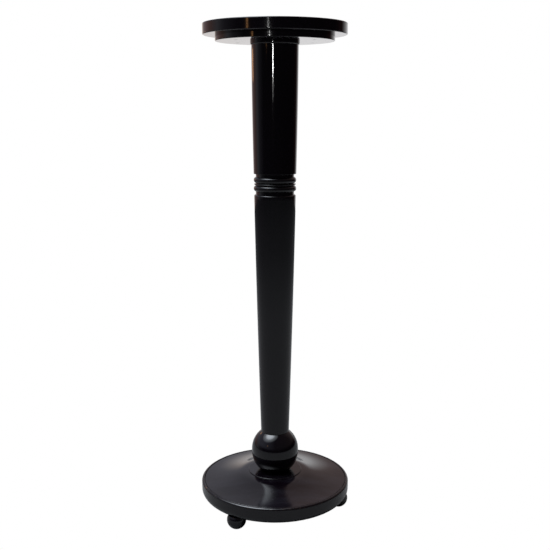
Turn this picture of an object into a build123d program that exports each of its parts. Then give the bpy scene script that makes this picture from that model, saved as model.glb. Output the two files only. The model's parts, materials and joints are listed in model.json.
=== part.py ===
from build123d import *
import os
from math import asin, cos, degrees, radians, sin, sqrt

# A turned and black-lacquered wooden pedestal, for showing a vase or a sculpture.
# Every turned piece is threaded on one steel tie rod that runs up the middle.
# Sizes are millimetres. The origin is on the floor, on the pedestal's axis, and +Z is up.

# Levels on the axis, from the floor up
base_bottom = 34.5
recess_floor = 60.5
rim_top = 73.0
seat_bottom = 86.0
seat_top = 93.8
ball_top = 193.2
band_bottom = 776.0
band_top = 823.8
neck_bottom = 1113.5
neck_top = 1121.2
step_top = 1134.8
total_height = 1160.0

# Top: a round board on a smaller round board
top_radius = 163.8
top_arris = 2.2
step_radius = 135.6
step_arris = 1.2
collar_radius = 56.2
collar_arris = 3.0
collar_hole = 45.1

# Shaft: two tapered lengths, slightly swollen, with a beaded ring between them
neck_radius = 53.9
waist_radius = 49.8
shoulder_radius = 48.8
ankle_radius = 34.1
upper_swell = 0.5
lower_swell = 0.8
upper_arris = 0.9
shoulder_arris = 4.0
ankle_arris = 1.2
spigot_radius = 45.0
tenon_radius = 24.0
tenon_length = 88.0

# Beaded ring: two beads with a narrow ridge between them, and a groove at each end
groove_radius = 44.8
quirk_radius = 45.4
bead_radius = 49.7
bead_half_height = 6.8
bead_spacing = 19.8
ridge_radius = 48.5
ridge_half_height = 1.7
ridge_foot = 46.6

# Ball between the shaft and the base, drawn out a little in height
ball_radius = 57.0
ball_waist = 7.0
ball_low_centre = 139.9
ankle_tenon_radius = 18.0
ankle_tenon_length = 35.0
ball_tenon_radius = 20.0
ball_tenon_length = 28.0

# Base: a seat ring on a shallow dome, let into a round board with a raised rim
seat_radius = 65.2
seat_arris = 1.0
dome_top = 92.0
dome_shoulder_radius = 88.0
dome_shoulder_level = 88.2
dome_swell = 0.86
dome_hollow = 2.87
dome_edge_radius = 173.6
dome_edge_top = 72.4
dome_arris = 0.8
base_radius = 181.2
base_arris = 5.2
rim_inner_radius = 175.0
rim_inner_arris = 0.6
base_wall_bottom = 51.0
underside_radius = 170.8

# Feet: three balls, cut flat where they meet the base and where they stand
foot_radius = 22.8
foot_ring = 157.7
foot_turn = -5.0
foot_count = 3
foot_pad_radius = 5.0
foot_names = ["foot_right", "foot_back_left", "foot_front_left"]

# Fits between wooden pieces
fit = 0.1
socket_relief = 2.0

# Tie rod, with a nut and washer in a pocket at each end
rod_radius = 6.0
rod_bore = 7.0
rod_end_chamfer = 1.0
nut_across_flats = 18.0
nut_height = 10.8
nut_edge_drop = 0.9
washer_radius = 18.0
washer_thickness = 2.5
washer_chamfer = 0.3
pocket_radius = 20.0
head_pocket_depth = 28.0
base_pocket_depth = 17.0
rod_past_nut = 1.5

# Countersunk wood screws
screw_radius = 2.2
screw_head_radius = 4.4
screw_head_taper = 45.0
screw_tip_length = 5.0
screw_tip_taper = 20.0
screw_fit = 0.05
recess_arm = 4.6
recess_width = 1.1
recess_depth = 1.6
top_screw_ring = 100.0
top_screw_count = 6
top_screw_length = 32.0
head_screw_ring = 32.0
head_screw_count = 4
head_screw_length = 50.0
base_screw_ring = 110.0
base_screw_count = 6
base_screw_length = 40.0
screw_turn = 30.0

# Threaded studs that hold the feet, each in a brass insert
stud_radius = 3.95
stud_bottom = 12.5
stud_top = 55.0
stud_end_chamfer = 0.8
insert_radius = 6.5
insert_length = 16.0
insert_lip_radius = 8.0
insert_lip = 1.2

ball_high_centre = ball_low_centre + ball_waist
band_middle = (band_bottom + band_top) / 2
head_pocket_floor = neck_top - head_pocket_depth
base_pocket_floor = base_bottom + base_pocket_depth
foot_centre = foot_radius * cos(asin(foot_pad_radius / foot_radius))

os.makedirs("parts", exist_ok=True)


def circles(plane, ring, count, turn, radius):
    """Equal circles, evenly placed on a ring about the axis."""
    with BuildSketch(plane) as sketch:
        with PolarLocations(ring, count, turn):
            Circle(radius)
    return sketch.sketch


def disc(level, radius):
    """One circle on the axis."""
    with BuildSketch(Plane.XY.offset(level)) as sketch:
        Circle(radius)
    return sketch.sketch


def upward(level):
    """A level plane that faces up."""
    return Plane.XY.offset(level)


def downward(level):
    """A level plane that faces down, so that screws driven up from it have negative depth."""
    return Plane(origin=(0, 0, level), x_dir=(1, 0, 0), z_dir=(0, 0, -1))


def screw_hole(plane, ring, count, turn, depth):
    """Countersunk clearance holes, sunk into the face that the plane lies on."""
    shank = circles(plane, ring, count, turn, screw_radius + screw_fit)
    mouth = circles(plane, ring, count, turn, screw_head_radius + screw_fit)
    with BuildPart() as tool:
        extrude(shank, amount=-depth)
        extrude(mouth, amount=-(screw_head_radius - screw_radius), taper=screw_head_taper)
    return tool.part


def screws(plane, ring, count, turn, length):
    """Countersunk wood screws with cross recesses, with their heads flush with the plane."""
    head_height = screw_head_radius - screw_radius
    shank = circles(plane, ring, count, turn, screw_radius)
    head = circles(plane, ring, count, turn, screw_head_radius)
    tip = circles(plane.offset(screw_tip_length - length), ring, count, turn, screw_radius)
    with BuildSketch(plane) as cross:
        with PolarLocations(ring, count, turn):
            Rectangle(recess_arm, recess_width)
            Rectangle(recess_width, recess_arm)
    with BuildPart() as group:
        extrude(shank, amount=screw_tip_length - length)
        extrude(tip, amount=-screw_tip_length, taper=screw_tip_taper)
        extrude(head, amount=-head_height, taper=screw_head_taper)
        extrude(cross.sketch, amount=-recess_depth, mode=Mode.SUBTRACT)
    return group.part


def hexagon_nut(level):
    """A hexagon nut standing on a level, with its corners turned down at both ends."""
    corner_radius = nut_across_flats / sqrt(3)
    with BuildPart() as nut:
        with BuildSketch(Plane.XY.offset(level)):
            RegularPolygon(nut_across_flats / 2, 6, major_radius=False)
            Circle(rod_radius + screw_fit, mode=Mode.SUBTRACT)
        extrude(amount=nut_height)
        with BuildSketch(Plane.XZ):
            with BuildLine():
                Polyline(
                    (0, level),
                    (nut_across_flats / 2, level),
                    (corner_radius, level + nut_edge_drop),
                    (corner_radius, level + nut_height - nut_edge_drop),
                    (nut_across_flats / 2, level + nut_height),
                    (0, level + nut_height),
                    close=True,
                )
            make_face()
        revolve(axis=Axis.Z, mode=Mode.INTERSECT)
    return nut.part


def nearest(sketch, radius, level):
    """The corner of a half section that lies nearest to a radius and a level."""
    return sketch.vertices().sort_by_distance((radius, level, 0))[0]


def washer(level):
    """A flat washer lying on a level."""
    with BuildPart() as ring:
        with BuildSketch(Plane.XY.offset(level)):
            Circle(washer_radius)
            Circle(rod_radius + screw_fit, mode=Mode.SUBTRACT)
        extrude(amount=washer_thickness)
        rim_edges = ring.edges().filter_by(GeomType.CIRCLE).group_by(SortBy.RADIUS)[-1]
        chamfer(rim_edges, washer_chamfer)
    return ring.part


# Round top board, screwed on from below
with BuildPart() as top_disc:
    extrude(disc(step_top, top_radius), amount=total_height - step_top)
    fillet(top_disc.edges().filter_by(GeomType.CIRCLE), top_arris)
    extrude(
        circles(upward(step_top), top_screw_ring, top_screw_count, screw_turn, screw_radius + screw_fit),
        amount=top_screw_length - (step_top - neck_top) + socket_relief,
        mode=Mode.SUBTRACT,
    )

# Smaller round board that makes the step under the top
with BuildPart() as under_disc:
    extrude(disc(neck_top, step_radius), amount=step_top - neck_top)
    fillet(under_disc.edges().sort_by(Axis.Z)[0], step_arris)
    add(
        screw_hole(downward(neck_top), top_screw_ring, top_screw_count, screw_turn, step_top - neck_top),
        mode=Mode.SUBTRACT,
    )
    add(
        screw_hole(upward(step_top), head_screw_ring, head_screw_count, screw_turn, step_top - neck_top),
        mode=Mode.SUBTRACT,
    )

# Plain ring that trims the head of the shaft
with BuildPart() as neck_collar:
    with BuildSketch(Plane.XY.offset(neck_bottom)):
        Circle(collar_radius)
        Circle(collar_hole, mode=Mode.SUBTRACT)
    extrude(amount=neck_top - neck_bottom)
    fillet(neck_collar.edges().group_by(Axis.Z)[0].sort_by(SortBy.RADIUS)[-1], collar_arris)

# Upper length of the shaft, with a spigot for the collar and a long tenon below
upper_middle = (band_top + neck_bottom) / 2
upper_middle_radius = (waist_radius + neck_radius) / 2 + upper_swell
tenon_bottom = band_top - tenon_length
with BuildPart() as upper_shaft:
    with BuildSketch(Plane.XZ) as section:
        with BuildLine():
            side = ThreePointArc(
                (waist_radius, band_top),
                (upper_middle_radius, upper_middle),
                (neck_radius, neck_bottom),
            )
            Polyline(
                side @ 1,
                (spigot_radius, neck_bottom),
                (spigot_radius, neck_top),
                (pocket_radius, neck_top),
                (pocket_radius, head_pocket_floor),
                (rod_bore, head_pocket_floor),
                (rod_bore, tenon_bottom),
                (tenon_radius, tenon_bottom),
                (tenon_radius, band_top),
                side @ 0,
            )
        make_face()
        fillet(nearest(section, waist_radius, band_top), upper_arris)
    revolve(axis=Axis.Z)
    extrude(
        circles(upward(neck_top), head_screw_ring, head_screw_count, screw_turn, screw_radius + screw_fit),
        amount=-(head_screw_length - (step_top - neck_top) + socket_relief),
        mode=Mode.SUBTRACT,
    )

# Beaded ring, held between the two lengths of the shaft
low_bead = band_middle - bead_spacing / 2
high_bead = band_middle + bead_spacing / 2
with BuildPart() as bead_band:
    with BuildSketch(Plane.XZ):
        with BuildLine():
            lower_bead = ThreePointArc(
                (groove_radius, low_bead - bead_half_height),
                (bead_radius, low_bead),
                (quirk_radius, low_bead + bead_half_height),
            )
            ridge = ThreePointArc(
                (ridge_foot, band_middle - ridge_half_height),
                (ridge_radius, band_middle),
                (ridge_foot, band_middle + ridge_half_height),
            )
            upper_bead = ThreePointArc(
                (quirk_radius, high_bead - bead_half_height),
                (bead_radius, high_bead),
                (groove_radius, high_bead + bead_half_height),
            )
            Polyline(
                lower_bead @ 1,
                (quirk_radius, band_middle - ridge_half_height),
                ridge @ 0,
            )
            Polyline(
                ridge @ 1,
                (quirk_radius, band_middle + ridge_half_height),
                upper_bead @ 0,
            )
            Polyline(
                upper_bead @ 1,
                (groove_radius, band_top),
                (tenon_radius + fit, band_top),
                (tenon_radius + fit, band_bottom),
                (groove_radius, band_bottom),
                lower_bead @ 0,
            )
        make_face()
    revolve(axis=Axis.Z)

# Lower length of the shaft, with a deep socket above and a tenon below
lower_middle = (ball_top + band_bottom) / 2
lower_middle_radius = (ankle_radius + shoulder_radius) / 2 + lower_swell
socket_floor = tenon_bottom - socket_relief
ankle_tenon_bottom = ball_top - ankle_tenon_length
with BuildPart() as lower_shaft:
    with BuildSketch(Plane.XZ) as section:
        with BuildLine():
            side = ThreePointArc(
                (ankle_radius, ball_top),
                (lower_middle_radius, lower_middle),
                (shoulder_radius, band_bottom),
            )
            Polyline(
                side @ 1,
                (tenon_radius + fit, band_bottom),
                (tenon_radius + fit, socket_floor),
                (rod_bore, socket_floor),
                (rod_bore, ankle_tenon_bottom),
                (ankle_tenon_radius, ankle_tenon_bottom),
                (ankle_tenon_radius, ball_top),
                side @ 0,
            )
        make_face()
        fillet(nearest(section, shoulder_radius, band_bottom), shoulder_arris)
        fillet(nearest(section, ankle_radius, ball_top), ankle_arris)
    revolve(axis=Axis.Z)

# Ball, with a socket for the shaft and a tenon that passes through the seat into the dome
low_angle = degrees(asin((seat_top - ball_low_centre) / ball_radius))
high_angle = degrees(asin((ball_top - ball_high_centre) / ball_radius))
ball_tenon_bottom = seat_top - ball_tenon_length
ball_socket_floor = ankle_tenon_bottom - socket_relief
with BuildPart() as ball:
    with BuildSketch(Plane.XZ):
        with BuildLine():
            low_side = CenterArc((0, ball_low_centre), ball_radius, low_angle, -low_angle)
            high_side = CenterArc((0, ball_high_centre), ball_radius, 0, high_angle)
            Line(low_side @ 1, high_side @ 0)
            Polyline(
                high_side @ 1,
                (ankle_tenon_radius + fit, ball_top),
                (ankle_tenon_radius + fit, ball_socket_floor),
                (rod_bore, ball_socket_floor),
                (rod_bore, ball_tenon_bottom),
                (ball_tenon_radius, ball_tenon_bottom),
                (ball_tenon_radius, seat_top),
                low_side @ 0,
            )
        make_face()
    revolve(axis=Axis.Z)

# Thin ring under the ball, let into the dome
with BuildPart() as seat_ring:
    with BuildSketch(Plane.XY.offset(seat_bottom)):
        Circle(seat_radius)
        Circle(ball_tenon_radius + fit, mode=Mode.SUBTRACT)
    extrude(amount=seat_top - seat_bottom)
    fillet(seat_ring.edges().group_by(Axis.Z)[-1].sort_by(SortBy.RADIUS)[-1], seat_arris)

# Dome of the base, round at the shoulder and hollow towards the rim, with a recess for the seat ring
seat_recess_radius = seat_radius + fit
with BuildPart() as base_dome:
    with BuildSketch(Plane.XZ) as section:
        with BuildLine():
            sweep = ThreePointArc(
                (dome_edge_radius, dome_edge_top),
                (
                    (dome_edge_radius + dome_shoulder_radius) / 2,
                    (dome_edge_top + dome_shoulder_level) / 2 - dome_hollow,
                ),
                (dome_shoulder_radius, dome_shoulder_level),
            )
            shoulder = ThreePointArc(
                (dome_shoulder_radius, dome_shoulder_level),
                (
                    (dome_shoulder_radius + seat_recess_radius) / 2,
                    (dome_shoulder_level + dome_top) / 2 + dome_swell,
                ),
                (seat_recess_radius, dome_top),
            )
            Polyline(
                shoulder @ 1,
                (seat_recess_radius, seat_bottom),
                (ball_tenon_radius + fit, seat_bottom),
                (ball_tenon_radius + fit, recess_floor),
                (dome_edge_radius, recess_floor),
                sweep @ 0,
            )
        make_face()
        fillet(nearest(section, dome_edge_radius, dome_edge_top), dome_arris)
    revolve(axis=Axis.Z)
    extrude(
        circles(
            upward(recess_floor),
            base_screw_ring,
            base_screw_count,
            screw_turn,
            screw_radius + screw_fit,
        ),
        amount=base_screw_length - (recess_floor - base_bottom) + socket_relief,
        mode=Mode.SUBTRACT,
    )

# Round board of the base, with a raised rim about the dome
with BuildPart() as base_board:
    with BuildSketch(Plane.XZ) as section:
        with BuildLine():
            turn_under = TangentArc(
                (base_radius, base_wall_bottom),
                (underside_radius, base_bottom),
                tangent=(0, -1),
            )
            Polyline(
                turn_under @ 1,
                (pocket_radius, base_bottom),
                (pocket_radius, base_pocket_floor),
                (rod_bore, base_pocket_floor),
                (rod_bore, recess_floor),
                (rim_inner_radius, recess_floor),
                (rim_inner_radius, rim_top),
                (base_radius, rim_top),
                turn_under @ 0,
            )
        make_face()
        fillet(nearest(section, base_radius, rim_top), base_arris)
        fillet(nearest(section, rim_inner_radius, rim_top), rim_inner_arris)
    revolve(axis=Axis.Z)
    add(
        screw_hole(
            downward(base_bottom),
            base_screw_ring,
            base_screw_count,
            screw_turn,
            recess_floor - base_bottom,
        ),
        mode=Mode.SUBTRACT,
    )
    extrude(
        circles(upward(base_bottom), foot_ring, foot_count, foot_turn, insert_radius + fit),
        amount=stud_top - base_bottom + socket_relief,
        mode=Mode.SUBTRACT,
    )
    extrude(
        circles(upward(base_bottom), foot_ring, foot_count, foot_turn, insert_lip_radius + fit),
        amount=insert_lip,
        mode=Mode.SUBTRACT,
    )

# Ball feet, each bored from above for its stud
feet = []
pad_angle = -degrees(asin(foot_centre / foot_radius))
cut_angle = degrees(asin((base_bottom - foot_centre) / foot_radius))
for number, foot_name in enumerate(foot_names):
    place = radians(foot_turn + number * 360 / foot_count)
    foot_plane = Plane(
        origin=(foot_ring * cos(place), foot_ring * sin(place), 0),
        x_dir=(1, 0, 0),
        z_dir=(0, -1, 0),
    )
    foot_axis = Axis(foot_plane.origin, (0, 0, 1))
    with BuildPart() as foot:
        with BuildSketch(foot_plane):
            with BuildLine():
                side = CenterArc((0, foot_centre), foot_radius, pad_angle, cut_angle - pad_angle)
                Polyline(
                    side @ 1,
                    (stud_radius + screw_fit, base_bottom),
                    (stud_radius + screw_fit, stud_bottom - socket_relief),
                    (0, stud_bottom - socket_relief),
                    (0, 0),
                    side @ 0,
                )
            make_face()
        revolve(axis=foot_axis)
    foot.part.label = foot_name
    feet.append(foot.part)

# Threaded studs that join the feet to the base, one group
with BuildPart() as foot_studs:
    extrude(
        circles(upward(stud_bottom), foot_ring, foot_count, foot_turn, stud_radius),
        amount=stud_top - stud_bottom,
    )
    chamfer(foot_studs.edges().filter_by(GeomType.CIRCLE), stud_end_chamfer)

# Brass inserts that the studs screw into, one group
with BuildPart() as foot_inserts:
    extrude(
        circles(upward(base_bottom), foot_ring, foot_count, foot_turn, insert_radius),
        amount=insert_length,
    )
    extrude(
        circles(upward(base_bottom), foot_ring, foot_count, foot_turn, insert_lip_radius),
        amount=insert_lip,
    )
    extrude(
        circles(upward(base_bottom), foot_ring, foot_count, foot_turn, stud_radius + screw_fit),
        amount=insert_length,
        mode=Mode.SUBTRACT,
    )

# Screws that hold the top board, driven up through the step
with BuildPart() as top_screws:
    add(screws(downward(neck_top), top_screw_ring, top_screw_count, screw_turn, top_screw_length))

# Screws that hold the step, driven down into the head of the shaft
with BuildPart() as head_screws:
    add(screws(upward(step_top), head_screw_ring, head_screw_count, screw_turn, head_screw_length))

# Screws that hold the dome, driven up through the base board
with BuildPart() as base_screws:
    add(screws(downward(base_bottom), base_screw_ring, base_screw_count, screw_turn, base_screw_length))

# Nut and washer in the pocket at the head of the shaft
with BuildPart() as upper_washer:
    add(washer(head_pocket_floor))

with BuildPart() as upper_nut:
    add(hexagon_nut(head_pocket_floor + washer_thickness))

# Nut and washer in the pocket under the base
with BuildPart() as lower_washer:
    add(washer(base_pocket_floor - washer_thickness))

with BuildPart() as lower_nut:
    add(hexagon_nut(base_pocket_floor - washer_thickness - nut_height))

# Tie rod through the whole stack
rod_bottom = base_pocket_floor - washer_thickness - nut_height - rod_past_nut
rod_top = head_pocket_floor + washer_thickness + nut_height + rod_past_nut
with BuildPart() as tie_rod:
    extrude(disc(rod_bottom, rod_radius), amount=rod_top - rod_bottom)
    chamfer(tie_rod.edges().filter_by(GeomType.CIRCLE), rod_end_chamfer)

top_disc.part.label = "top_disc"
under_disc.part.label = "under_disc"
neck_collar.part.label = "neck_collar"
upper_shaft.part.label = "upper_shaft"
bead_band.part.label = "bead_band"
lower_shaft.part.label = "lower_shaft"
ball.part.label = "ball"
seat_ring.part.label = "seat_ring"
base_dome.part.label = "base_dome"
base_board.part.label = "base_board"
foot_studs.part.label = "foot_studs"
foot_inserts.part.label = "foot_inserts"
top_screws.part.label = "top_screws"
head_screws.part.label = "head_screws"
base_screws.part.label = "base_screws"
upper_washer.part.label = "upper_washer"
upper_nut.part.label = "upper_nut"
lower_washer.part.label = "lower_washer"
lower_nut.part.label = "lower_nut"
tie_rod.part.label = "tie_rod"

export_step(top_disc.part, "parts/top_disc.step")
export_step(under_disc.part, "parts/under_disc.step")
export_step(neck_collar.part, "parts/neck_collar.step")
export_step(upper_shaft.part, "parts/upper_shaft.step")
export_step(bead_band.part, "parts/bead_band.step")
export_step(lower_shaft.part, "parts/lower_shaft.step")
export_step(ball.part, "parts/ball.step")
export_step(seat_ring.part, "parts/seat_ring.step")
export_step(base_dome.part, "parts/base_dome.step")
export_step(base_board.part, "parts/base_board.step")
export_step(foot_studs.part, "parts/foot_studs.step")
export_step(foot_inserts.part, "parts/foot_inserts.step")
export_step(top_screws.part, "parts/top_screws.step")
export_step(head_screws.part, "parts/head_screws.step")
export_step(base_screws.part, "parts/base_screws.step")
export_step(upper_washer.part, "parts/upper_washer.step")
export_step(upper_nut.part, "parts/upper_nut.step")
export_step(lower_washer.part, "parts/lower_washer.step")
export_step(lower_nut.part, "parts/lower_nut.step")
export_step(tie_rod.part, "parts/tie_rod.step")

for foot_part in feet:
    export_step(foot_part, f"parts/{foot_part.label}.step")
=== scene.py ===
import json
from math import acos, ceil, cos, pi, radians, sin, sqrt, tan

import bmesh
import bpy
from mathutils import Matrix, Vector


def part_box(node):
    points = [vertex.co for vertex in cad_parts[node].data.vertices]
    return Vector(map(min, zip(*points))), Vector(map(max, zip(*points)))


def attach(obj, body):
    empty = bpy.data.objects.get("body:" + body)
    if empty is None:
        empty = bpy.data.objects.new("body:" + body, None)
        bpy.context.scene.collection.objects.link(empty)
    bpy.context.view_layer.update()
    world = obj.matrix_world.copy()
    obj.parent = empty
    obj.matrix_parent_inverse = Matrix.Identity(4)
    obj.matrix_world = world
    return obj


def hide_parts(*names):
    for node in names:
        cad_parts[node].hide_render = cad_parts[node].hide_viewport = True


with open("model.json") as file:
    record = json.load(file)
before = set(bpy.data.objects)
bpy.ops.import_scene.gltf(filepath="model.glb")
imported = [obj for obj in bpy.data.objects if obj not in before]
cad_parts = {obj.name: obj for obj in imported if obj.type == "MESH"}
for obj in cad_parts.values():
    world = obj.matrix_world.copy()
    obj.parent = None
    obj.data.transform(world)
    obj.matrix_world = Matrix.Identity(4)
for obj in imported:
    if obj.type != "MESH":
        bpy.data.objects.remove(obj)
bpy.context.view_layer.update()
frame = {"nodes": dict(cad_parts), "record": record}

# The looks of a turned display plinth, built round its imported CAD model. Lengths are in metres

MM = 0.001
WHITE = (1, 1, 1, 1)


def add_to_scene(name, data):
    """A new object in the scene, made from its data."""
    made = bpy.data.objects.new(name, data)
    bpy.context.scene.collection.objects.link(made)
    return made


# ---------------------------------------------------------------- camera

CAMERA_DISTANCE = 1.9958
CAMERA_HEIGHT = 0.9765
CAMERA_PITCH = radians(11.14)
CAMERA_LENS = 55.96
CAMERA_NEAREST = 0.05
SENSOR_WIDTH = 36.0


def make_camera():
    """The camera in front of the pedestal, a little below its top, looking slightly down."""
    data = bpy.data.cameras.new("camera")
    data.lens = CAMERA_LENS
    data.sensor_width = SENSOR_WIDTH
    data.clip_start = CAMERA_NEAREST
    camera = add_to_scene("camera", data)
    camera.location = (0, -CAMERA_DISTANCE, CAMERA_HEIGHT)
    camera.rotation_euler = (pi / 2 - CAMERA_PITCH, 0, 0)
    bpy.context.scene.camera = camera


make_camera()

# ---------------------------------------------------------------- node helpers


def new_tree(owner):
    """The emptied node tree of a material or a world."""
    owner.use_nodes = True
    owner.node_tree.nodes.clear()
    return owner.node_tree


def add_node(tree, kind, **inputs):
    """A node with some of its inputs set. Each is a value, or the output socket that feeds it."""
    node = tree.nodes.new("ShaderNode" + kind)
    for name, value in inputs.items():
        plug = node.inputs[name.replace("_", " ")]
        if isinstance(value, bpy.types.NodeSocket):
            tree.links.new(value, plug)
        else:
            plug.default_value = value
    return node


def calculate(tree, operation, *values):
    """The output of a Math node. Each value is a number or an output socket."""
    node = tree.nodes.new("ShaderNodeMath")
    node.operation = operation
    for plug, value in zip(node.inputs, values):
        if isinstance(value, bpy.types.NodeSocket):
            tree.links.new(value, plug)
        else:
            plug.default_value = value
    return node.outputs[0]


def ramp(tree, factor, *stops):
    """The output of a colour ramp. Each stop is (position, grey) or (position, (r, g, b))."""
    node = add_node(tree, "ValToRGB", Fac=factor)
    elements = node.color_ramp.elements
    while len(elements) < len(stops):
        elements.new(0.5)
    for element, (position, value) in zip(elements, stops):
        element.position = position
        element.color = (*value, 1) if isinstance(value, tuple) else (value, value, value, 1)
    return node.outputs["Color"]


def noise(tree, place, scale, detail=2.0, roughness=0.5):
    """The output of a noise texture. A scale for each axis gives marks that run one way."""
    if isinstance(scale, tuple):
        place = add_node(tree, "Mapping", Vector=place, Scale=scale).outputs["Vector"]
        scale = 1.0
    node = add_node(tree, "TexNoise", Vector=place, Scale=scale, Detail=detail, Roughness=roughness)
    return node.outputs["Fac"]


# ---------------------------------------------------------------- materials

# Scales are in cycles a metre, along x, y and z where there are three
PEEL_SCALE, PEEL_STRENGTH = 160.0, 0.022
RING_SCALE, RING_STRENGTH = (8.0, 8.0, 190.0), 0.05
LACQUER_RELIEF = 0.4 * MM
LACQUER_IOR = 1.5
HAZE_SCALE = 9.0
POLISHED_GLOSS = ((0.30, 0.05), (0.55, 0.08), (0.72, 0.14))
DUSTY_GLOSS = ((0.30, 0.07), (0.55, 0.11), (0.72, 0.18))
FACING_UP = ((0.80, 0.0), (0.94, 1.0))
GRAIN_SCALE = (60.0, 60.0, 4.0)
GRAIN_COLOURS = ((0.3, (0.0011, 0.0005, 0.0016)), (0.7, (0.0026, 0.0013, 0.0024)))
WIPE_SCALE = (6.0, 22.0, 10.0)
DUST_COLOURS = ((0.46, 0.0), (0.74, (0.007, 0.007, 0.009)))
SCUFF_SCALE = 260.0
SCUFF_EDGES = ((0.55, 0.0), (0.66, 1.0))
WORN_ROUGHNESS = 0.25
BARE_WOOD = (0.020, 0.012, 0.008, 1)

STREAK_SCALE, STREAK_STRENGTH = (90.0, 90.0, 900.0), 0.2
STREAK_RELIEF = 0.1 * MM
STREAK_SMOOTHEST, STREAK_ROUGHEST = 0.8, 1.3


def lacquer_normal(tree, place):
    """Orange peel in the lacquer, over the fine rings that turning leaves."""
    peel = noise(tree, place, PEEL_SCALE)
    rings = noise(tree, place, RING_SCALE)
    peeled = add_node(tree, "Bump", Strength=PEEL_STRENGTH, Distance=LACQUER_RELIEF, Height=peel)
    ringed = add_node(
        tree,
        "Bump",
        Strength=RING_STRENGTH,
        Distance=LACQUER_RELIEF,
        Height=rings,
        Normal=peeled.outputs["Normal"],
    )
    return ringed.outputs["Normal"]


def lacquer_roughness(tree, place, upward, worn):
    """Hazy polish, duller where dust lies on upward faces, and dullest on worn arrises."""
    haze = noise(tree, place, HAZE_SCALE, detail=5.0, roughness=0.62)
    polished, dusty = ramp(tree, haze, *POLISHED_GLOSS), ramp(tree, haze, *DUSTY_GLOSS)
    gloss = add_node(tree, "MixRGB", Fac=upward, Color1=polished, Color2=dusty).outputs["Color"]
    return calculate(tree, "ADD", gloss, calculate(tree, "MULTIPLY", worn, WORN_ROUGHNESS))


def lacquer_colour(tree, place, upward, worn):
    """Black with a trace of grain, wiped dust on upward faces, and bare wood on worn arrises."""
    black = ramp(tree, noise(tree, place, GRAIN_SCALE, detail=4.0, roughness=0.7), *GRAIN_COLOURS)
    dust = ramp(tree, noise(tree, place, WIPE_SCALE, detail=5.0, roughness=0.65), *DUST_COLOURS)
    dusted = add_node(tree, "MixRGB", Fac=upward, Color1=black, Color2=dust)
    dusted.blend_type = "ADD"
    colour = add_node(tree, "MixRGB", Fac=worn, Color1=dusted.outputs["Color"], Color2=BARE_WOOD)
    return colour.outputs["Color"]


def lacquer_material(name):
    """Black gloss lacquer on turned wood. The meshes say where their arrises are."""
    material = bpy.data.materials.new(name)
    tree = new_tree(material)
    place = add_node(tree, "TexCoord").outputs["Object"]
    arris = add_node(tree, "Attribute")
    arris.attribute_name = "arris"
    facing = add_node(tree, "SeparateXYZ", Vector=add_node(tree, "NewGeometry").outputs["Normal"])
    upward = ramp(tree, facing.outputs["Z"], *FACING_UP)
    scuffs = ramp(tree, noise(tree, place, SCUFF_SCALE, detail=3.0, roughness=0.7), *SCUFF_EDGES)
    worn = calculate(tree, "MULTIPLY", scuffs, arris.outputs["Fac"])
    shader = add_node(
        tree,
        "BsdfPrincipled",
        Base_Color=lacquer_colour(tree, place, upward, worn),
        Roughness=lacquer_roughness(tree, place, upward, worn),
        IOR=LACQUER_IOR,
        Normal=lacquer_normal(tree, place),
    )
    add_node(tree, "OutputMaterial", Surface=shader.outputs["BSDF"])
    return material


def metal_material(name, dark, light, roughness):
    """Plated or machined metal, with fine streaks in its colour and its gloss."""
    material = bpy.data.materials.new(name)
    tree = new_tree(material)
    place = add_node(tree, "TexCoord").outputs["Object"]
    streaks = noise(tree, place, STREAK_SCALE, detail=3.0, roughness=0.6)
    smoothest, roughest = roughness * STREAK_SMOOTHEST, roughness * STREAK_ROUGHEST
    bump = add_node(tree, "Bump", Strength=STREAK_STRENGTH, Distance=STREAK_RELIEF, Height=streaks)
    shader = add_node(
        tree,
        "BsdfPrincipled",
        Base_Color=ramp(tree, streaks, (0.3, dark), (0.7, light)),
        Metallic=1.0,
        Roughness=ramp(tree, streaks, (0.25, smoothest), (0.75, roughest)),
        Normal=bump.outputs["Normal"],
    )
    add_node(tree, "OutputMaterial", Surface=shader.outputs["BSDF"])
    return material


LACQUER = lacquer_material("black_lacquer")
ZINC = metal_material("zinc_plated_steel", (0.42, 0.43, 0.46), (0.62, 0.63, 0.64), 0.3)
BRASS = metal_material("brass", (0.56, 0.40, 0.16), (0.76, 0.58, 0.28), 0.28)

# ---------------------------------------------------------------- half sections

ARC_STEP = radians(5)
LONG_STEP = 12 * MM
ROUNDING_STEPS = 8


def circle_centre(first, second, third):
    """The centre of the circle through three points."""
    first = Vector(first)
    to_second, to_third = Vector(second) - first, Vector(third) - first
    scale = 2 * (to_second.x * to_third.y - to_second.y * to_third.x)
    x = to_third.y * to_second.length_squared - to_second.y * to_third.length_squared
    y = to_second.x * to_third.length_squared - to_third.x * to_second.length_squared
    return first + Vector((x, y)) / scale


def turn_between(centre, start, end):
    """The angle about a centre from one point to another, anticlockwise."""
    return -(Vector(start) - centre).angle_signed(Vector(end) - centre)


def around_centre(centre, start, angle):
    """A point moved anticlockwise about a centre."""
    arm = Vector(start) - centre
    x = arm.x * cos(angle) - arm.y * sin(angle)
    y = arm.x * sin(angle) + arm.y * cos(angle)
    return centre + Vector((x, y))


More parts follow.
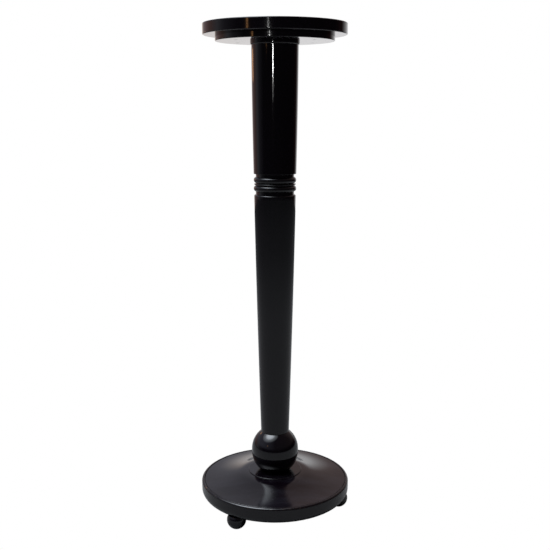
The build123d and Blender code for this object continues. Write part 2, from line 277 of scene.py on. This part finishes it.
class Outline:
    """Half section of a turned piece, as (r, z) corners. A rounded corner is an arris."""

    def __init__(self, r, z, rounding=0.0):
        self.corners = [(Vector((r, z)), rounding)]

    def line(self, r, z, rounding=0.0):
        """A straight run to (r, z)."""
        self.corners.append((Vector((r, z)), rounding))
        return self

    def arc(self, middle, end, rounding=0.0):
        """A circular run through a point on its way to its end, which may be rounded off."""
        start = self.corners[-1][0]
        centre = circle_centre(start, middle, end)
        turn = turn_between(centre, start, middle) + turn_between(centre, middle, end)
        length = abs(turn) * (start - centre).length
        steps = max(ceil(abs(turn) / ARC_STEP), ceil(length / LONG_STEP))
        for step in range(1, steps):
            self.line(*around_centre(centre, start, turn * step / steps))
        return self.line(*end, rounding)

    def points(self):
        """Its points as (r, z, wear), with the roundings worked in."""
        places = [corner for corner, _ in self.corners]
        points = []
        for index, (corner, rounding) in enumerate(self.corners):
            if rounding:
                back = (places[index - 1] - corner).normalized()
                onward = (places[(index + 1) % len(places)] - corner).normalized()
                points += rounded(corner, back, onward, rounding)
            else:
                points.append((*corner, 0.0))
        return points


def rounded(corner, back, onward, radius):
    """The arc that rounds off a corner between two directions, most worn in its middle."""
    half = back.angle(onward) / 2
    cut = radius / tan(half)
    start, end = corner + back * cut, corner + onward * cut
    centre = corner + (back + onward).normalized() * (radius / sin(half))
    turn = turn_between(centre, start, end)
    points = []
    for step in range(ROUNDING_STEPS + 1):
        share = step / ROUNDING_STEPS
        points.append((*around_centre(centre, start, turn * share), sin(pi * share)))
    return points


# ---------------------------------------------------------------- turned meshes

AROUND = 192
HOLE_AROUND = 32
ON_AXIS = 1e-6
SHARP_ANGLE = radians(30)


def turn_outline(mesh, outline, centre=(0, 0), around=AROUND):
    """Turns an outline about a vertical axis, into a mesh, and closes one that starts off it."""
    wear_layer = mesh.verts.layers.float.get("arris") or mesh.verts.layers.float.new("arris")
    rings = []
    for r, z, wear in outline.points():
        ring = []
        for index in range(around if r > ON_AXIS else 1):
            angle = 2 * pi * index / around
            vertex = mesh.verts.new((centre[0] + r * cos(angle), centre[1] + r * sin(angle), z))
            vertex[wear_layer] = wear
            ring.append(vertex)
        rings.append(ring)
    if len(rings[0]) > 1:
        rings.append(rings[0])
    for ring, following in zip(rings, rings[1:]):
        if len(ring) > 1 or len(following) > 1:
            join_rings(mesh, ring, following, around)


def join_rings(mesh, ring, following, around):
    """The faces between two rings, either of which may be one vertex."""
    for index in range(around):
        onward = (index + 1) % around
        corners = [
            ring[index % len(ring)],
            ring[onward % len(ring)],
            following[onward % len(following)],
            following[index % len(following)],
        ]
        mesh.faces.new(dict.fromkeys(corners)).smooth = True


def make_object(name, mesh):
    """An object from a bmesh, with its faces turned outwards."""
    bmesh.ops.recalc_face_normals(mesh, faces=mesh.faces)
    data = bpy.data.meshes.new(name)
    mesh.to_mesh(data)
    mesh.free()
    return add_to_scene(name, data)


def drill(piece, holes):
    """Cuts holes in a piece. Each entry is an outline and the places of its axis."""
    mesh = bmesh.new()
    for outline, places in holes:
        for place in places:
            turn_outline(mesh, outline, place, HOLE_AROUND)
    tool = make_object("tool", mesh)
    cut = piece.modifiers.new("holes", "BOOLEAN")
    cut.object = tool
    cut.solver = "EXACT"
    cut.use_self = True
    shown = piece.evaluated_get(bpy.context.evaluated_depsgraph_get())
    piece.data = bpy.data.meshes.new_from_object(shown)
    piece.modifiers.clear()
    bpy.data.objects.remove(tool)


def turned_piece(name, node, outline, centre=(0, 0), holes=(), flats=True):
    """A turned wooden piece that stands for a CAD node. A piece with flats keeps them flat."""
    mesh = bmesh.new()
    turn_outline(mesh, outline, centre)
    piece = make_object(name, mesh)
    if holes:
        drill(piece, holes)
    piece.data.set_sharp_from_angle(angle=SHARP_ANGLE)
    if flats:
        weighted = piece.modifiers.new("weighted_normals", "WEIGHTED_NORMAL")
        weighted.keep_sharp = True
    piece.data.materials.clear()
    piece.data.materials.append(LACQUER)
    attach(piece, "root")
    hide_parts(node)


# ---------------------------------------------------------------- sizes that the pieces share

FIT = 0.1 * MM
SOCKET_RELIEF = 2.0 * MM
TENON_RADIUS = 24.0 * MM
ANKLE_TENON_RADIUS = 18.0 * MM
BALL_TENON_RADIUS = 20.0 * MM
SPIGOT_RADIUS = 45.0 * MM
ROD_BORE = 7.0 * MM
POCKET_RADIUS = 20.0 * MM
SCREW_BORE = 2.25 * MM
SCREW_MOUTH = 4.45 * MM
SCREW_TURN = radians(30)
FEET = ["foot_right", "foot_back_left", "foot_front_left"]


def extent_of(node):
    """A turned node's outside radius, its lowest level and its highest."""
    low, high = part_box(node)
    return (high.x - low.x) / 2, low.z, high.z


def radius_of(node):
    """A turned node's outside radius."""
    return extent_of(node)[0]


def bottom_of(node):
    """A node's lowest level."""
    return extent_of(node)[1]


def top_of(node):
    """A node's highest level."""
    return extent_of(node)[2]


def centre_of(node):
    """Where a node's own axis stands."""
    low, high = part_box(node)
    return (low.x + high.x) / 2, (low.y + high.y) / 2


def screw_places(node, count):
    """Where the screws of a ring stand, from how far the ring reaches along +Y."""
    angles = [SCREW_TURN + 2 * pi * index / count for index in range(count)]
    ring = (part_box(node)[1].y - SCREW_MOUTH) / max(sin(angle) for angle in angles)
    return [(ring * cos(angle), ring * sin(angle)) for angle in angles]


TOP_SCREWS = screw_places("top_screws", 6)
HEAD_SCREWS = screw_places("head_screws", 4)
BASE_SCREWS = screw_places("base_screws", 6)


def plain_hole(radius, mouth, end):
    """The outline of a plain hole, from past its mouth to its end."""
    past_mouth = mouth + (MM if mouth > end else -MM)
    return Outline(0, past_mouth).line(radius, past_mouth).line(radius, end).line(0, end)


def screw_hole(mouth, end):
    """The outline of a countersunk hole right through, from the face that it is sunk in."""
    inwards = 1 if end > mouth else -1
    slope = SCREW_MOUTH - SCREW_BORE
    outline = Outline(0, mouth - inwards * slope)
    outline.line(SCREW_MOUTH + slope, mouth - inwards * slope)
    outline.line(SCREW_BORE, mouth + inwards * slope)
    outline.line(SCREW_BORE, end + inwards * slope)
    return outline.line(0, end + inwards * slope)


def hollow_middle(start, end):
    """The middle point of an arc that leaves its start straight down."""
    across, drop = abs(end[0] - start[0]), start[1] - end[1]
    radius = (across**2 + drop**2) / (2 * across)
    side = 1 if end[0] > start[0] else -1
    half_turn = acos((radius - across) / radius) / 2
    return start[0] + side * radius * (1 - cos(half_turn)), start[1] - radius * sin(half_turn)


# ---------------------------------------------------------------- wooden pieces


def make_top_disc():
    """Round top board."""
    arris = 2.2 * MM
    radius, low, high = extent_of("top_disc")
    outline = Outline(0, low).line(radius, low, arris).line(radius, high, arris).line(0, high)
    screw_end = top_of("top_screws") + SOCKET_RELIEF
    holes = [(plain_hole(SCREW_BORE, low, screw_end), TOP_SCREWS)]
    turned_piece("top_board", "top_disc", outline, holes=holes)


def make_under_disc():
    """Smaller round board that makes the step under the top."""
    arris = 1.2 * MM
    radius, low, high = extent_of("under_disc")
    outline = Outline(0, low).line(radius, low, arris).line(radius, high).line(0, high)
    holes = [(screw_hole(low, high), TOP_SCREWS), (screw_hole(high, low), HEAD_SCREWS)]
    turned_piece("step_board", "under_disc", outline, holes=holes)


def make_collar():
    """Plain ring that trims the head of the shaft."""
    arris = 3.0 * MM
    radius, low, high = extent_of("neck_collar")
    bore = SPIGOT_RADIUS + FIT
    outline = Outline(bore, low).line(radius, low, arris).line(radius, high).line(bore, high)
    turned_piece("head_collar", "neck_collar", outline)


def make_upper_shaft():
    """Upper length of the shaft, slightly swollen, with its spigot, nut pocket, bore and tenon."""
    arris, waist, swell = 0.9 * MM, 49.8 * MM, 0.5 * MM
    neck, low, high = extent_of("upper_shaft")
    shoulder, spigot = top_of("bead_band"), bottom_of("neck_collar")
    pocket_floor = bottom_of("upper_washer")
    middle = ((neck + waist) / 2 + swell, (shoulder + spigot) / 2)
    outline = Outline(TENON_RADIUS, shoulder).line(waist, shoulder, arris)
    outline.arc(middle, (neck, spigot)).line(SPIGOT_RADIUS, spigot).line(SPIGOT_RADIUS, high)
    outline.line(POCKET_RADIUS, high).line(POCKET_RADIUS, pocket_floor)
    outline.line(ROD_BORE, pocket_floor).line(ROD_BORE, low).line(TENON_RADIUS, low)
    screw_end = bottom_of("head_screws") - SOCKET_RELIEF
    holes = [(plain_hole(SCREW_BORE, high, screw_end), HEAD_SCREWS)]
    turned_piece("shaft_above", "upper_shaft", outline, holes=holes)


def make_bead_band():
    """Ring with two beads, a narrow ridge between them, and a groove at each end."""
    groove, quirk, bore = 44.8 * MM, 45.4 * MM, TENON_RADIUS + FIT
    bead_half, bead_offset = 6.8 * MM, 9.9 * MM
    ridge_foot, ridge, ridge_half = 46.6 * MM, 48.5 * MM, 1.7 * MM
    bead, low, high = extent_of("bead_band")
    middle = (low + high) / 2
    low_bead, high_bead = middle - bead_offset, middle + bead_offset
    outline = Outline(bore, low).line(groove, low).line(groove, low_bead - bead_half)
    outline.arc((bead, low_bead), (quirk, low_bead + bead_half))
    outline.line(quirk, middle - ridge_half).line(ridge_foot, middle - ridge_half)
    outline.arc((ridge, middle), (ridge_foot, middle + ridge_half))
    outline.line(quirk, middle + ridge_half).line(quirk, high_bead - bead_half)
    outline.arc((bead, high_bead), (groove, high_bead + bead_half))
    outline.line(groove, high).line(bore, high)
    turned_piece("beaded_ring", "bead_band", outline)


def make_lower_shaft():
    """Lower length of the shaft, slightly swollen, with its socket above and its tenon below."""
    ankle_arris, shoulder_arris = 1.2 * MM, 4.0 * MM
    ankle, shoulder, swell = 34.1 * MM, 48.8 * MM, 0.8 * MM
    low, ball_top, high = bottom_of("lower_shaft"), top_of("ball"), top_of("lower_shaft")
    socket, socket_floor = TENON_RADIUS + FIT, bottom_of("upper_shaft") - SOCKET_RELIEF
    middle = ((ankle + shoulder) / 2 + swell, (ball_top + high) / 2)
    outline = Outline(ANKLE_TENON_RADIUS, ball_top).line(ankle, ball_top, ankle_arris)
    outline.arc(middle, (shoulder, high), shoulder_arris)
    outline.line(socket, high).line(socket, socket_floor).line(ROD_BORE, socket_floor)
    outline.line(ROD_BORE, low).line(ANKLE_TENON_RADIUS, low)
    turned_piece("shaft_below", "lower_shaft", outline)


def make_ball():
    """Ball between the shaft and the base, drawn out in height, with its socket and tenon."""
    waist, centre_height = 7.0 * MM, 46.1 * MM
    radius, low, high = extent_of("ball")
    seat = top_of("seat_ring")
    low_centre = seat + centre_height
    high_centre = low_centre + waist
    low_edge = acos((low_centre - seat) / radius)
    high_edge = acos((high - high_centre) / radius)
    low_middle, high_middle = (low_edge + pi / 2) / 2, (high_edge + pi / 2) / 2
    socket, socket_floor = ANKLE_TENON_RADIUS + FIT, bottom_of("lower_shaft") - SOCKET_RELIEF
    outline = Outline(BALL_TENON_RADIUS, low).line(BALL_TENON_RADIUS, seat)
    outline.line(radius * sin(low_edge), seat)
    outline.arc(
        (radius * sin(low_middle), low_centre - radius * cos(low_middle)),
        (radius, low_centre),
    )
    outline.line(radius, high_centre)
    outline.arc(
        (radius * sin(high_middle), high_centre + radius * cos(high_middle)),
        (radius * sin(high_edge), high),
    )
    outline.line(socket, high).line(socket, socket_floor).line(ROD_BORE, socket_floor)
    outline.line(ROD_BORE, low)
    turned_piece("turned_ball", "ball", outline, flats=False)


def make_seat_ring():
    """Thin ring under the ball, let into the dome."""
    arris, bore = 1.0 * MM, BALL_TENON_RADIUS + FIT
    radius, low, high = extent_of("seat_ring")
    outline = Outline(bore, low).line(radius, low).line(radius, high, arris).line(bore, high)
    turned_piece("ball_seat", "seat_ring", outline)


def make_dome():
    """Dome of the base, round at the shoulder and hollow towards the rim, with its recess."""
    arris, below_rim, swell, hollow = 0.8 * MM, 0.6 * MM, 0.86 * MM, 2.87 * MM
    shoulder, shoulder_drop = 88.0 * MM, 3.8 * MM
    bore = BALL_TENON_RADIUS + FIT
    edge, low, high = extent_of("base_dome")
    edge_top, shoulder_top = top_of("base_board") - below_rim, high - shoulder_drop
    recess, recess_floor = radius_of("seat_ring") + FIT, bottom_of("seat_ring")
    sweep_middle = ((edge + shoulder) / 2, (edge_top + shoulder_top) / 2 - hollow)
    shoulder_middle = ((shoulder + recess) / 2, (shoulder_top + high) / 2 + swell)
    outline = Outline(bore, low).line(edge, low).line(edge, edge_top, arris)
    outline.arc(sweep_middle, (shoulder, shoulder_top)).arc(shoulder_middle, (recess, high))
    outline.line(recess, recess_floor).line(bore, recess_floor)
    screw_end = top_of("base_screws") + SOCKET_RELIEF
    holes = [(plain_hole(SCREW_BORE, low, screw_end), BASE_SCREWS)]
    turned_piece("dome", "base_dome", outline, holes=holes)


def make_base_board():
    """Round board of the base, with a rim about the dome, and holes for the screws and feet."""
    arris, inner_arris, rim_gap = 5.2 * MM, 0.6 * MM, 1.4 * MM
    wall_height, undercut = 16.5 * MM, 10.4 * MM
    insert, insert_lip, lip_height = 6.6 * MM, 8.1 * MM, 1.2 * MM
    radius, low, high = extent_of("base_board")
    recess_floor, pocket_floor = bottom_of("base_dome"), top_of("lower_washer")
    rim_inner = radius_of("base_dome") + rim_gap
    start, end = (radius, low + wall_height), (radius - undercut, low)
    outline = Outline(rim_inner, high, inner_arris).line(radius, high, arris).line(*start)
    outline.arc(hollow_middle(start, end), end)
    outline.line(POCKET_RADIUS, low).line(POCKET_RADIUS, pocket_floor).line(ROD_BORE, pocket_floor)
    outline.line(ROD_BORE, recess_floor).line(rim_inner, recess_floor)
    insert_end = top_of("foot_studs") + SOCKET_RELIEF
    foot_places = [centre_of(foot) for foot in FEET]
    holes = [
        (screw_hole(low, recess_floor), BASE_SCREWS),
        (plain_hole(insert_lip, low, low + lip_height), foot_places),
        (plain_hole(insert, low, insert_end), foot_places),
    ]
    turned_piece("rimmed_board", "base_board", outline, holes=holes)


def make_foot(node):
    """Ball foot, cut flat at both ends, with a bore for its stud."""
    pad, stud_bore = 5.0 * MM, 4.0 * MM
    radius, _, high = extent_of(node)
    centre = sqrt(radius**2 - pad**2)
    neck = sqrt(radius**2 - (high - centre) ** 2)
    bore_floor = bottom_of("foot_studs") - SOCKET_RELIEF
    outline = Outline(0, 0).line(pad, 0).arc((radius, centre), (neck, high))
    outline.line(stud_bore, high).line(stud_bore, bore_floor).line(0, bore_floor)
    turned_piece(node + "_ball", node, outline, centre_of(node), flats=False)


make_top_disc()
make_under_disc()
make_collar()
make_upper_shaft()
make_bead_band()
make_lower_shaft()
make_ball()
make_seat_ring()
make_dome()
make_base_board()
for foot_node in FEET:
    make_foot(foot_node)

# ---------------------------------------------------------------- metal pieces

METALS = {"zinc_plated_steel": ZINC, "brass": BRASS}
for subpart in frame["record"]["subparts"]:
    if subpart["material_slot"] in METALS:
        metal_mesh = frame["nodes"][subpart["node"]].data
        metal_mesh.materials.clear()
        metal_mesh.materials.append(METALS[subpart["material_slot"]])

# ---------------------------------------------------------------- floor, surroundings and lights

FLOOR_RADIUS = 6.0
# Floor colour by share of its radius from the middle: painted shade, darker further out, for the
# floor being less lit far from the lights
FLOOR_FALLOFF_SHADE = ((0.28, 0.20), (0.5, 0.11), (1.0, 0.05))

# Positions are shares of a turn: 0 behind the pedestal, 0.25 on its left, 0.5 in front of it
FRONT = 0.5
WALL_COLOURS = (
    (0.00, (1.00, 0.99, 1.00)),
    (0.05, (0.85, 0.70, 0.62)),
    (0.08, (0.42, 0.36, 0.36)),
    (0.11, (0.40, 0.28, 0.28)),
    (0.17, (0.32, 0.20, 0.18)),
    (0.22, (0.30, 0.30, 0.33)),
    (0.26, (0.13, 0.13, 0.15)),
    (0.33, (0.030, 0.030, 0.036)),
    (0.80, (0.018, 0.013, 0.016)),
    (0.86, (0.05, 0.025, 0.025)),
    (0.90, (0.60, 0.58, 0.58)),
    (0.94, (1.00, 0.99, 1.00)),
)
CEILING_COLOURS = (
    (0.02, (0.42, 0.42, 0.47)),
    (0.30, (0.34, 0.36, 0.45)),
    (0.50, (0.06, 0.06, 0.07)),
    (0.78, (0.10, 0.08, 0.08)),
    (0.92, (0.36, 0.28, 0.27)),
)
# By how far upwards a direction points
WALL_TO_CEILING = ((0.10, 0.0), (0.30, 1.0))

CEILING_LIGHT = (-0.34, -0.06, 0.94)
# By the cosine of the angle between a direction and the light
CEILING_LIGHT_FALLOFF = ((0.82, 0.0), (0.93, 0.25), (0.985, 1.0))
CEILING_LIGHT_COLOUR = (0.86, 0.93, 1.0, 1)
CEILING_LIGHT_RADIANCE = 10.0

# Energy for each square metre of a light and each unit of its radiance
ENERGY_PER_RADIANCE = 4.0
LIT_PLACE = (0, 0, 1.16)
OVERHEAD_PLACE, OVERHEAD_AIM, OVERHEAD_SIZE = (0, 1.2, 2.2), (0, 1.2, 0), (2.0, 2.0)
OVERHEAD_RADIANCE = 3.0
STRIP_X, STRIP_Y, STRIP_WIDTH = -0.43, -2.45, 0.05
STRIP_SPREAD = radians(16)
# Each part of the strip has a name, a level, a height and a radiance
STRIP_PARTS = (
    ("strip_tail", 1.02, 0.12, 9.0),
    ("strip", 1.18, 0.20, 160.0),
    ("strip_head", 1.36, 0.14, 4.0),
)
# Each lamp has a name, a place and a size
LAMPS = (
    ("lamp_behind", (-1.67, 1.86, 1.17), (0.30, 0.16)),
    ("lamp_beside", (-1.67, -1.86, 1.40), (0.09, 0.30)),
)
LAMP_RADIANCE = 3.0
AMBER = (1.0, 0.50, 0.20)


def joined(tree, kind, first, second, **inputs):
    """The output of a shader node that joins two shaders, which are its last two inputs."""
    node = add_node(tree, kind, **inputs)
    for plug, shader in zip(node.inputs[-2:], (first, second)):
        tree.links.new(shader.outputs[0], plug)
    return node.outputs[0]


def make_floor():
    """Plain floor, which the camera sees as white. In reflections its colour darkens with distance,
    painted shade for a floor that is less lit further from the pedestal.
    """
    mesh = bmesh.new()
    bmesh.ops.create_circle(mesh, cap_ends=True, segments=AROUND, radius=FLOOR_RADIUS)
    floor = make_object("floor", mesh)
    material = bpy.data.materials.new("pale_floor")
    tree = new_tree(material)
    reach = add_node(tree, "VectorMath", Vector=add_node(tree, "TexCoord").outputs["Object"])
    reach.operation = "LENGTH"
    share = calculate(tree, "DIVIDE", reach.outputs["Value"], FLOOR_RADIUS)
    # Diffuse floor seen in reflections, its colour darkened with distance as painted shade
    painted_falloff = add_node(tree, "BsdfDiffuse", Color=ramp(tree, share, *FLOOR_FALLOFF_SHADE))
    white = add_node(tree, "Emission", Color=WHITE, Strength=1.0)
    seen = add_node(tree, "LightPath").outputs["Is Camera Ray"]
    add_node(tree, "OutputMaterial", Surface=joined(tree, "MixShader", painted_falloff, white, Fac=seen))
    floor.data.materials.append(material)


def make_world():
    """Studio surroundings, bright behind the pedestal, dim in front of it and warm behind on its
    left, with a light in the ceiling. The camera sees white instead of its walls and ceiling."""
    world = bpy.data.worlds.new("studio")
    bpy.context.scene.world = world
    tree = new_tree(world)
    direction = add_node(tree, "TexCoord").outputs["Generated"]
    x, y, z = add_node(tree, "SeparateXYZ", Vector=direction).outputs
    angle = calculate(tree, "ARCTAN2", x, calculate(tree, "MULTIPLY", y, -1.0))
    turn = calculate(tree, "MULTIPLY_ADD", angle, 1 / (2 * pi), FRONT)
    walls, ceiling = ramp(tree, turn, *WALL_COLOURS), ramp(tree, turn, *CEILING_COLOURS)
    height = ramp(tree, z, *WALL_TO_CEILING)
    room = add_node(tree, "MixRGB", Fac=height, Color1=walls, Color2=ceiling).outputs["Color"]
    seen = add_node(tree, "LightPath").outputs["Is Camera Ray"]
    shown = add_node(tree, "MixRGB", Fac=seen, Color1=room, Color2=WHITE).outputs["Color"]
    background = add_node(tree, "Background", Color=shown)

    towards = add_node(tree, "VectorMath", Vector=direction)
    towards.operation = "DOT_PRODUCT"
    towards.inputs[1].default_value = Vector(CEILING_LIGHT).normalized()
    glow = ramp(tree, towards.outputs["Value"], *CEILING_LIGHT_FALLOFF)
    brightness = calculate(tree, "MULTIPLY", glow, CEILING_LIGHT_RADIANCE)
    lamp = add_node(tree, "Background", Color=CEILING_LIGHT_COLOUR, Strength=brightness)
    add_node(tree, "OutputWorld", Surface=joined(tree, "AddShader", background, lamp))


def make_light(name, place, target, size, radiance, spread=pi, colour=(1, 1, 1), mirrored=True):
    """Soft rectangular light of a given radiance. A narrow spread takes less energy for it."""
    half_spread = spread / 2
    spread_share = 1 - half_spread / tan(half_spread) if spread < pi else 1
    data = bpy.data.lights.new(name, "AREA")
    data.shape = "RECTANGLE"
    data.size, data.size_y = size
    data.energy = radiance * size[0] * size[1] * ENERGY_PER_RADIANCE * spread_share
    data.spread = spread
    data.color = colour
    light = add_to_scene(name, data)
    light.location = place
    light.rotation_euler = (Vector(target) - Vector(place)).to_track_quat("-Z", "Y").to_euler()
    light.visible_camera = False
    light.visible_glossy = mirrored


def make_lights():
    """A large light above the floor, an upright strip in front, and two small lamps on the left."""
    make_light(
        "overhead", OVERHEAD_PLACE, OVERHEAD_AIM, OVERHEAD_SIZE, OVERHEAD_RADIANCE, mirrored=False
    )
    for name, level, height, radiance in STRIP_PARTS:
        place, size = (STRIP_X, STRIP_Y, level), (STRIP_WIDTH, height)
        make_light(name, place, LIT_PLACE, size, radiance, STRIP_SPREAD)
    for name, place, size in LAMPS:
        make_light(name, place, LIT_PLACE, size, LAMP_RADIANCE, colour=AMBER)


make_floor()
make_world()
make_lights()
bpy.context.scene.view_settings.view_transform = "Standard"
